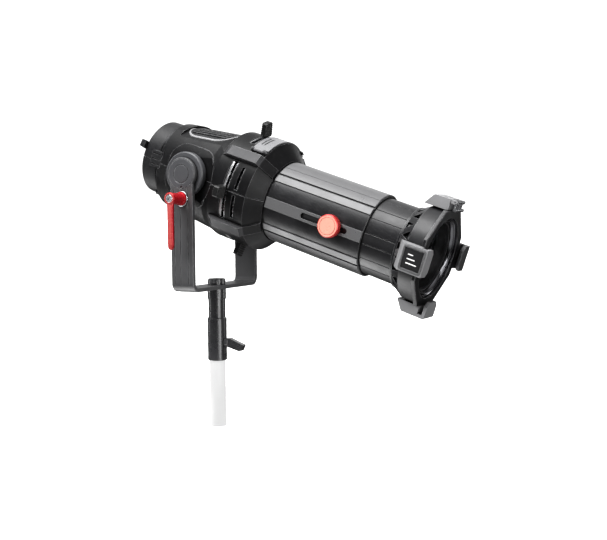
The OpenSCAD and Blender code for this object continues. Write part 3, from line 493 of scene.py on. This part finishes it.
def frame_strip(body, path, section, surface):
    """Sweeps a closed section [outward offset, height] round the path, over surface(x, y)."""
    loops = []
    for offset, height in section:
        loop = []
        for x, y, out in path:
            px, py = x + offset * out[0], y + offset * out[1]
            loop.append(body.verts.new(surface(px, py, height)))
        loops.append(loop)
    skin(body, loops + loops[:1], closed_ends=False)


# The housing's roof and the vent grille in it: middle along the axis, half length, half width
ROOF_R = 102.0
ROOF_DROP = -34.0
ROOF_SLOPE = math.radians(7)
GRILLE_MID = -3.0
GRILLE_HALF_L = 39.0
GRILLE_HALF_W = 48.0
GRILLE_CORNER = 24.0
GRILLE_BARS = 11
SLOT_HALF_L = 32.0
RIM_GAP = 0.3
MESH_WIRES = 15
MESH_DEPTH = 5.2
MESH_R = 0.45


def roof(x, y, height):
    """A point at this height over the housing's lowered roof."""
    over = math.sqrt(max(ROOF_R**2 - y**2, 0)) / math.cos(ROOF_SLOPE)
    return (x + GRILLE_MID, y, ROOF_DROP + (x + GRILLE_MID) * math.tan(ROOF_SLOPE) + over + height)


def grille_rim(body):
    """Lip round the vent, painted pale as a painted highlight."""
    path = rounded_path(GRILLE_HALF_L + RIM_GAP, GRILLE_HALF_W + RIM_GAP, GRILLE_CORNER)
    frame_strip(body, path, [(0, -1.0), (2.6, -1.0), (2.6, 0.9), (2.1, 1.5), (0.5, 1.5), (0, 1.0)], roof)


def grille_wires(body):
    """Fine mesh below the slots."""
    for i in range(MESH_WIRES):
        x = SLOT_HALF_L * (2 * i / (MESH_WIRES - 1) - 1)
        wire(body, [roof(x, y, -MESH_DEPTH) for y in range(-40, 41, 4)], MESH_R, 6)


def grille_slats(body):
    """Raised crowns on the bars between the louvres."""
    section = [(-1.2, -0.4), (1.2, -0.4), (1.0, 0.7), (0.5, 1.1), (-0.5, 1.1), (-1.0, 0.7)]
    reach = GRILLE_HALF_W - 5
    steps = 8
    for i in range(1, GRILLE_BARS):
        y = reach * (2 * i / GRILLE_BARS - 1)
        rings = []
        for k in range(steps + 1):
            x = SLOT_HALF_L * (2 * k / steps - 1)
            shrink = 0.45 if k in (0, steps) else 1.0
            rings.append([body.verts.new(roof(x, y + dy * shrink, dz * shrink)) for dy, dz in section])
        skin(body, rings)


IRIS_X = (93.6, 95.2)
IRIS_R = (79.0, 82.2)
IRIS_STARTS = (3, -27, 153, 183)


def iris_bands(body):
    """Bright edges of the iris ring, seen in the four slots beside the near and far shutters."""
    for theta in IRIS_STARTS:
        band(body, *IRIS_X, *IRIS_R, theta + 0.8, theta + 23.2, 12)


SHUTTER_X = 75.2
STRIP_REAR = 4.6
STRIP_R = (80.5, 82.9)
STRIP_SPAN = 30
SLOT_STRIPS = {0: -1.4, 90: -2.9, 180: -1.4, 270: -1.4}


def slot_strips(body):
    """Bright rolled lips of the rear shutter guide, clear of each slot's own blade."""
    for theta, front in SLOT_STRIPS.items():
        span = (theta - STRIP_SPAN, theta + STRIP_SPAN)
        band(body, SHUTTER_X - STRIP_REAR, SHUTTER_X + front, *STRIP_R, *span, 40)


HOLDER_R = 85.0
LABEL_X = 383.0
LABEL_HALF = (13.9, 14.2)
MARK_STEP = 6.0
MARK_LOW = -6.2
MARK_DEPTH = 0.38


def label_frame(body):
    """Raised frame round the label plate."""
    place = outward(LABEL_X, -HOLDER_R, 0)
    section = [(0, -0.2), (2.6, -0.2), (2.6, 0.5), (2.1, 0.9), (0.4, 0.9), (0, 0.5)]
    path = rounded_path(*LABEL_HALF, 1.0, 4)
    frame_strip(body, path, section, lambda x, y, h: place @ Vector((x, y, h)))


def label_marks(body):
    """Pale enamel in the label's three grooves."""
    for i in range(3):
        place = outward(LABEL_X - 2 * i, -(HOLDER_R - MARK_DEPTH), MARK_STEP * i + MARK_LOW)
        block(body, place, (15.8 - 4 * i, 1.5, 0.24), bevel=0.05)


LEVER_Z = PIVOT_Z - 37.0
ARM_OUTER = 91.0
HUB_END = ARM_OUTER + 31.0
HUB_FOOT = 2.3
HANDLE_T = 6.9
HANDLE_SIDES = 28


def lever_hub(body):
    """A waisted hub with a rolled lip and a recess for its screw."""
    foot = ARM_OUTER + HUB_FOOT
    place = outward(0, -foot, LEVER_Z)
    length = HUB_END - foot
    profile = [(10.2, 0), (10.2, 1.6), (9.9, 2.4), (9.1, 3.6), (8.7, 6), (8.5, 9), (8.5, length - 9),
               (8.8, length - 6), (9.1, length - 3), (9.0, length - 1.2), (8.3, length - 0.2),
               (7.4, length), (6.1, length), (6.0, length - 2.3), (4.1, length - 2.3), (4.1, 0)]
    hollow(body, place, profile, 64)


def lever_handle(body):
    """A crowned bar that hangs from the outer end of the hub, a little wider at its foot."""
    stations = [(5.0, 6.6, 5.4), (9.0, 5.6, 6.2), (13.0, 4.9, 6.5), (24.0, 4.7, 6.4), (40.0, 4.8, 6.4),
                (56.0, 5.0, 6.4), (66.0, 5.1, 6.3), (70.5, 4.7, 6.0), (73.0, 3.7, 5.4), (74.6, 2.2, 4.4),
                (75.0, 0.8, 3.4)]
    back = HUB_END - HANDLE_T
    rings = []
    for drop, half, thick in stations:
        ring = []
        for i in range(HANDLE_SIDES):
            a = 2 * math.pi * i / HANDLE_SIDES
            c, d = math.cos(a), math.sin(a)
            x = half * math.copysign(abs(c) ** 0.55, c)
            crown = 0.5 + 0.5 * math.copysign(abs(d) ** 0.7, d)
            y = back + (HANDLE_T - thick) * 0.3 + thick * crown
            ring.append(body.verts.new((x, -y, LEVER_Z - drop)))
        rings.append(ring)
    skin(body, rings)


def lever(body):
    """The red clamping lever: hub and handle in one piece."""
    lever_hub(body)
    lever_handle(body)


DRUM_SCREW_X = -85.0
DRUM_SCREW_R = 58.2
RING_SCREW_X = 366.0
RING_SCREW_R = 68.6


def drum_screws(body):
    """Cross-head screws that hold the bayonet inside the rear drum."""
    for theta in (132, 228):
        screw(body, around(theta, DRUM_SCREW_X, DRUM_SCREW_R), 2.6, 0.5, cross(1.3, 0.35), 0.4)


def ring_screws(body):
    """Hexagon-socket screws on the front ring."""
    for theta in (118, 242):
        screw(body, around(theta, RING_SCREW_X, RING_SCREW_R), 2.4, 0.5, hexagon(2.2), 0.8)


def lens_bezel(body):
    """Polished cone between the mouth of the front plate and the lens."""
    profile = [(57.4, 388.6), (58.6, 388.6), (58.6, 384.9), (53.6, 384.9), (51.2, 381.2), (51.2, 380.3),
               (52.0, 380.3), (54.2, 384.2), (57.0, 385.6)]
    hollow(body, ALONG, profile, 96)


LOCK_X = -66.0
LOCK_Z = 4.0
SPRING_FOOT = 57.3
SPRING_L = 8.3
SPRING_R = 3.8
SPRING_WIRE = 0.5
SPRING_TURNS = 5
SPRING_STEPS = 22


def lock_spring(body):
    """Coil behind the mount's lock button."""
    place = outward(LOCK_X, -SPRING_FOOT, LOCK_Z)
    steps = SPRING_STEPS * SPRING_TURNS
    points = []
    for i in range(steps + 1):
        a = 2 * math.pi * SPRING_TURNS * i / steps
        height = SPRING_WIRE + (SPRING_L - 2 * SPRING_WIRE) * i / steps
        points.append(place @ Vector((SPRING_R * math.cos(a), SPRING_R * math.sin(a), height)))
    wire(body, points, SPRING_WIRE, 8)


HEAD_PIECES = [
    ("grille_rim", grille_rim, "grille_black", RIM_HIGHLIGHT),
    ("grille_wires", grille_wires, "grille_black", None),
    ("grille_slats", grille_slats, "grille_black", None),
    ("iris_bands", iris_bands, "steel", None),
    ("slot_strips", slot_strips, "steel", STRIP_STEEL),
    ("drum_screws", drum_screws, "drum_black", None),
]
for name, build, finish, own in HEAD_PIECES:
    piece(name, build, HEAD, "head", finish, material=own)
piece("label_frame", label_frame, HEAD, "lens_slide", "plate_black", material=FRAME_PAINT)
piece("label_marks", label_marks, HEAD, "lens_slide", "plate_black", material=ENAMEL)
piece("lens_bezel", lens_bezel, HEAD, "lens_slide", "ring_black", material=POLISHED)
piece("ring_screws", ring_screws, HEAD, "lens_slide", "steel")
coil = piece("lock_spring_coil", lock_spring, HEAD, "head", "steel", smooth=50)
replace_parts(coil, "mount_lock_spring")
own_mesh(coil)
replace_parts(piece("lever_body", lever, ROW, "tilt_clamp", "lever_red", smooth=50), "tilt_lever")

# ---------------------------------------------------------------- camera

LENS = 56.34
AZIMUTH = math.radians(28.4057)
PITCH = math.radians(3.568)
ROLL = math.radians(-0.4019)
CAMERA_PLACE = Vector((0.830, -1.247, 0.234))

level = math.cos(PITCH)
forward = Vector((-math.sin(AZIMUTH) * level, math.cos(AZIMUTH) * level, -math.sin(PITCH)))
roll = Matrix.Rotation(ROLL, 3, "Z").to_quaternion()
camera = bpy.data.objects.new("camera", bpy.data.cameras.new("camera"))
bpy.context.scene.collection.objects.link(camera)
camera.data.lens = LENS
camera.data.sensor_width = 36.0
camera.location = CAMERA_PLACE
camera.rotation_mode = "QUATERNION"
camera.rotation_quaternion = forward.to_track_quat("-Z", "Y") @ roll
bpy.context.scene.camera = camera

# ---------------------------------------------------------------- floor and light

CENTRE = Vector((0.13, 0.0, 0.22))


def area(name, place, size, power):
    """A rectangular softbox that faces the spotlight and isn't seen itself."""
    data = bpy.data.lights.new(name, "AREA")
    data.shape = "RECTANGLE"
    data.size, data.size_y = size
    data.energy = power
    light = bpy.data.objects.new(name, data)
    light.location = place
    light.rotation_mode = "QUATERNION"
    light.rotation_quaternion = (CENTRE - Vector(place)).to_track_quat("-Z", "Y")
    light.visible_camera = False
    bpy.context.scene.collection.objects.link(light)


FLOOR_Z = -0.105
FLOOR_R = 40.0
POLE_R = 12.8
POLE_GLOW = 0.5
POLE_GAP = 0.8


def pole():
    """Pale stand pole that holds the spotlight high enough for the head to clear the floor.

    It glows a little, to be evenly pale as a faded backdrop is.
    """
    mesh = bpy.data.meshes.new("stand_pole")
    body = bmesh.new()
    foot = FLOOR_Z / MM
    turned(body, ROW, [(POLE_R, foot), (POLE_R, -2 * POLE_GAP), (POLE_R - POLE_GAP, -POLE_GAP)])
    body.to_mesh(mesh)
    body.free()
    mesh.shade_smooth()
    made = bpy.data.objects.new("stand_pole", mesh)
    bpy.context.scene.collection.objects.link(made)
    g = Graph("pole_paint")
    tone = g.mix(g.ramp(g.noise(40, 3), 0.3, 0.7), (0.08, 0.08, 0.08), (0.10, 0.10, 0.10))
    sheen = g.ramp(g.noise(60, 3), 0.3, 0.7, 0.5, 0.6)
    grain = g.bump(g.noise(900, 2), 0.00001)
    mesh.materials.append(g.finish(tone, sheen, grain, Emission_Strength=POLE_GLOW))


def floor():
    """Plain pale ground, which lights nothing and is only seen and shaded."""
    mesh = bpy.data.meshes.new("floor")
    body = bmesh.new()
    bmesh.ops.create_circle(body, cap_ends=True, radius=FLOOR_R, segments=64)
    body.to_mesh(mesh)
    body.free()
    plane = bpy.data.objects.new("floor", mesh)
    plane.location.z = FLOOR_Z
    bpy.context.scene.collection.objects.link(plane)
    g = Graph("floor_paint")
    tone = g.mix(g.ramp(g.noise(1.5, 3), 0.3, 0.7), (0.90, 0.90, 0.90), (0.93, 0.93, 0.93))
    g.finish(tone, g.ramp(g.noise(6, 3), 0.3, 0.7, 0.75, 0.9), g.bump(g.noise(200, 2), 0.0001))
    mesh.materials.append(g.material)
    plane.visible_diffuse = False
    plane.visible_glossy = False
    plane.visible_shadow = False


def surroundings(seen, bands):
    """A backdrop that the camera sees as white, and that lights by bands of [height, level]."""
    world = bpy.data.worlds.new("studio")
    world.use_nodes = True
    tree = world.node_tree
    background = tree.nodes["Background"]
    background.inputs["Color"].default_value = (1, 1, 1, 1)
    heading = tree.nodes.new("ShaderNodeTexCoord")
    split = tree.nodes.new("ShaderNodeSeparateXYZ")
    upward = tree.nodes.new("ShaderNodeMapRange")
    ramp = tree.nodes.new("ShaderNodeValToRGB")
    path = tree.nodes.new("ShaderNodeLightPath")
    level = tree.nodes.new("ShaderNodeMapRange")
    upward.inputs["From Min"].default_value = -1
    level.inputs["To Max"].default_value = seen
    while len(ramp.color_ramp.elements) < len(bands):
        ramp.color_ramp.elements.new(0.5)
    for stop, (height, value) in zip(ramp.color_ramp.elements, bands):
        stop.position = (height + 1) / 2
        stop.color = (value, value, value, 1)
    tree.links.new(heading.outputs["Generated"], split.inputs["Vector"])
    tree.links.new(split.outputs["Z"], upward.inputs["Value"])
    tree.links.new(upward.outputs["Result"], ramp.inputs["Fac"])
    tree.links.new(ramp.outputs["Color"], level.inputs["To Min"])
    tree.links.new(path.outputs["Is Camera Ray"], level.inputs["Value"])
    tree.links.new(level.outputs["Result"], background.inputs["Strength"])
    bpy.context.scene.world = world


def sun(name, strength, angle, heading):
    """Soft even light without a mirror image, so that the floor is equally white everywhere."""
    data = bpy.data.lights.new(name, "SUN")
    data.energy = strength
    data.angle = math.radians(angle)
    light = bpy.data.objects.new(name, data)
    light.rotation_mode = "QUATERNION"
    light.rotation_quaternion = Vector(heading).to_track_quat("-Z", "Y")
    light.visible_glossy = False
    bpy.context.scene.collection.objects.link(light)


floor()
pole()
surroundings(1.0, [(-1.0, 0.8), (-0.75, 0.7), (-0.55, 0.02), (-0.2, 0.015), (-0.08, 0.10), (0.10, 0.10),
                   (0.22, 0.015), (0.55, 0.02), (0.8, 0.5), (1.0, 0.9)])
sun("sky_light", 3.0, 70, (0.02, 0.10, -1))
sun("key_light", 2.6, 25, (0.35, 0.75, -0.56))
PANELS = [
    ("top_panel", (0.05, -0.45, 1.5), (1.3, 0.8), 12),
    ("front_panel", (-0.68, -1.45, 0.34), (1.0, 0.36), 0.55),
    ("under_left", (-1.15, -0.15, -1.05), (1.2, 0.9), 11),
    ("left_strip", (-1.5, -0.5, 0.5), (0.16, 1.2), 4),
    ("right_strip", (1.3, -1.15, 0.45), (0.14, 1.2), 4),
    ("back_panel", (-0.45, 1.6, 0.95), (1.7, 1.1), 4.0),
    ("right_panel", (1.25, -0.50, 0.15), (0.5, 1.2), 5),
    ("back_right", (1.3, 1.2, 0.4), (0.3, 1.0), 3),
]
for panel in PANELS:
    area(*panel)
view = bpy.context.scene.view_settings
view.view_transform = "Standard"
view.look = "Medium High Contrast"
view.exposure = 0.25
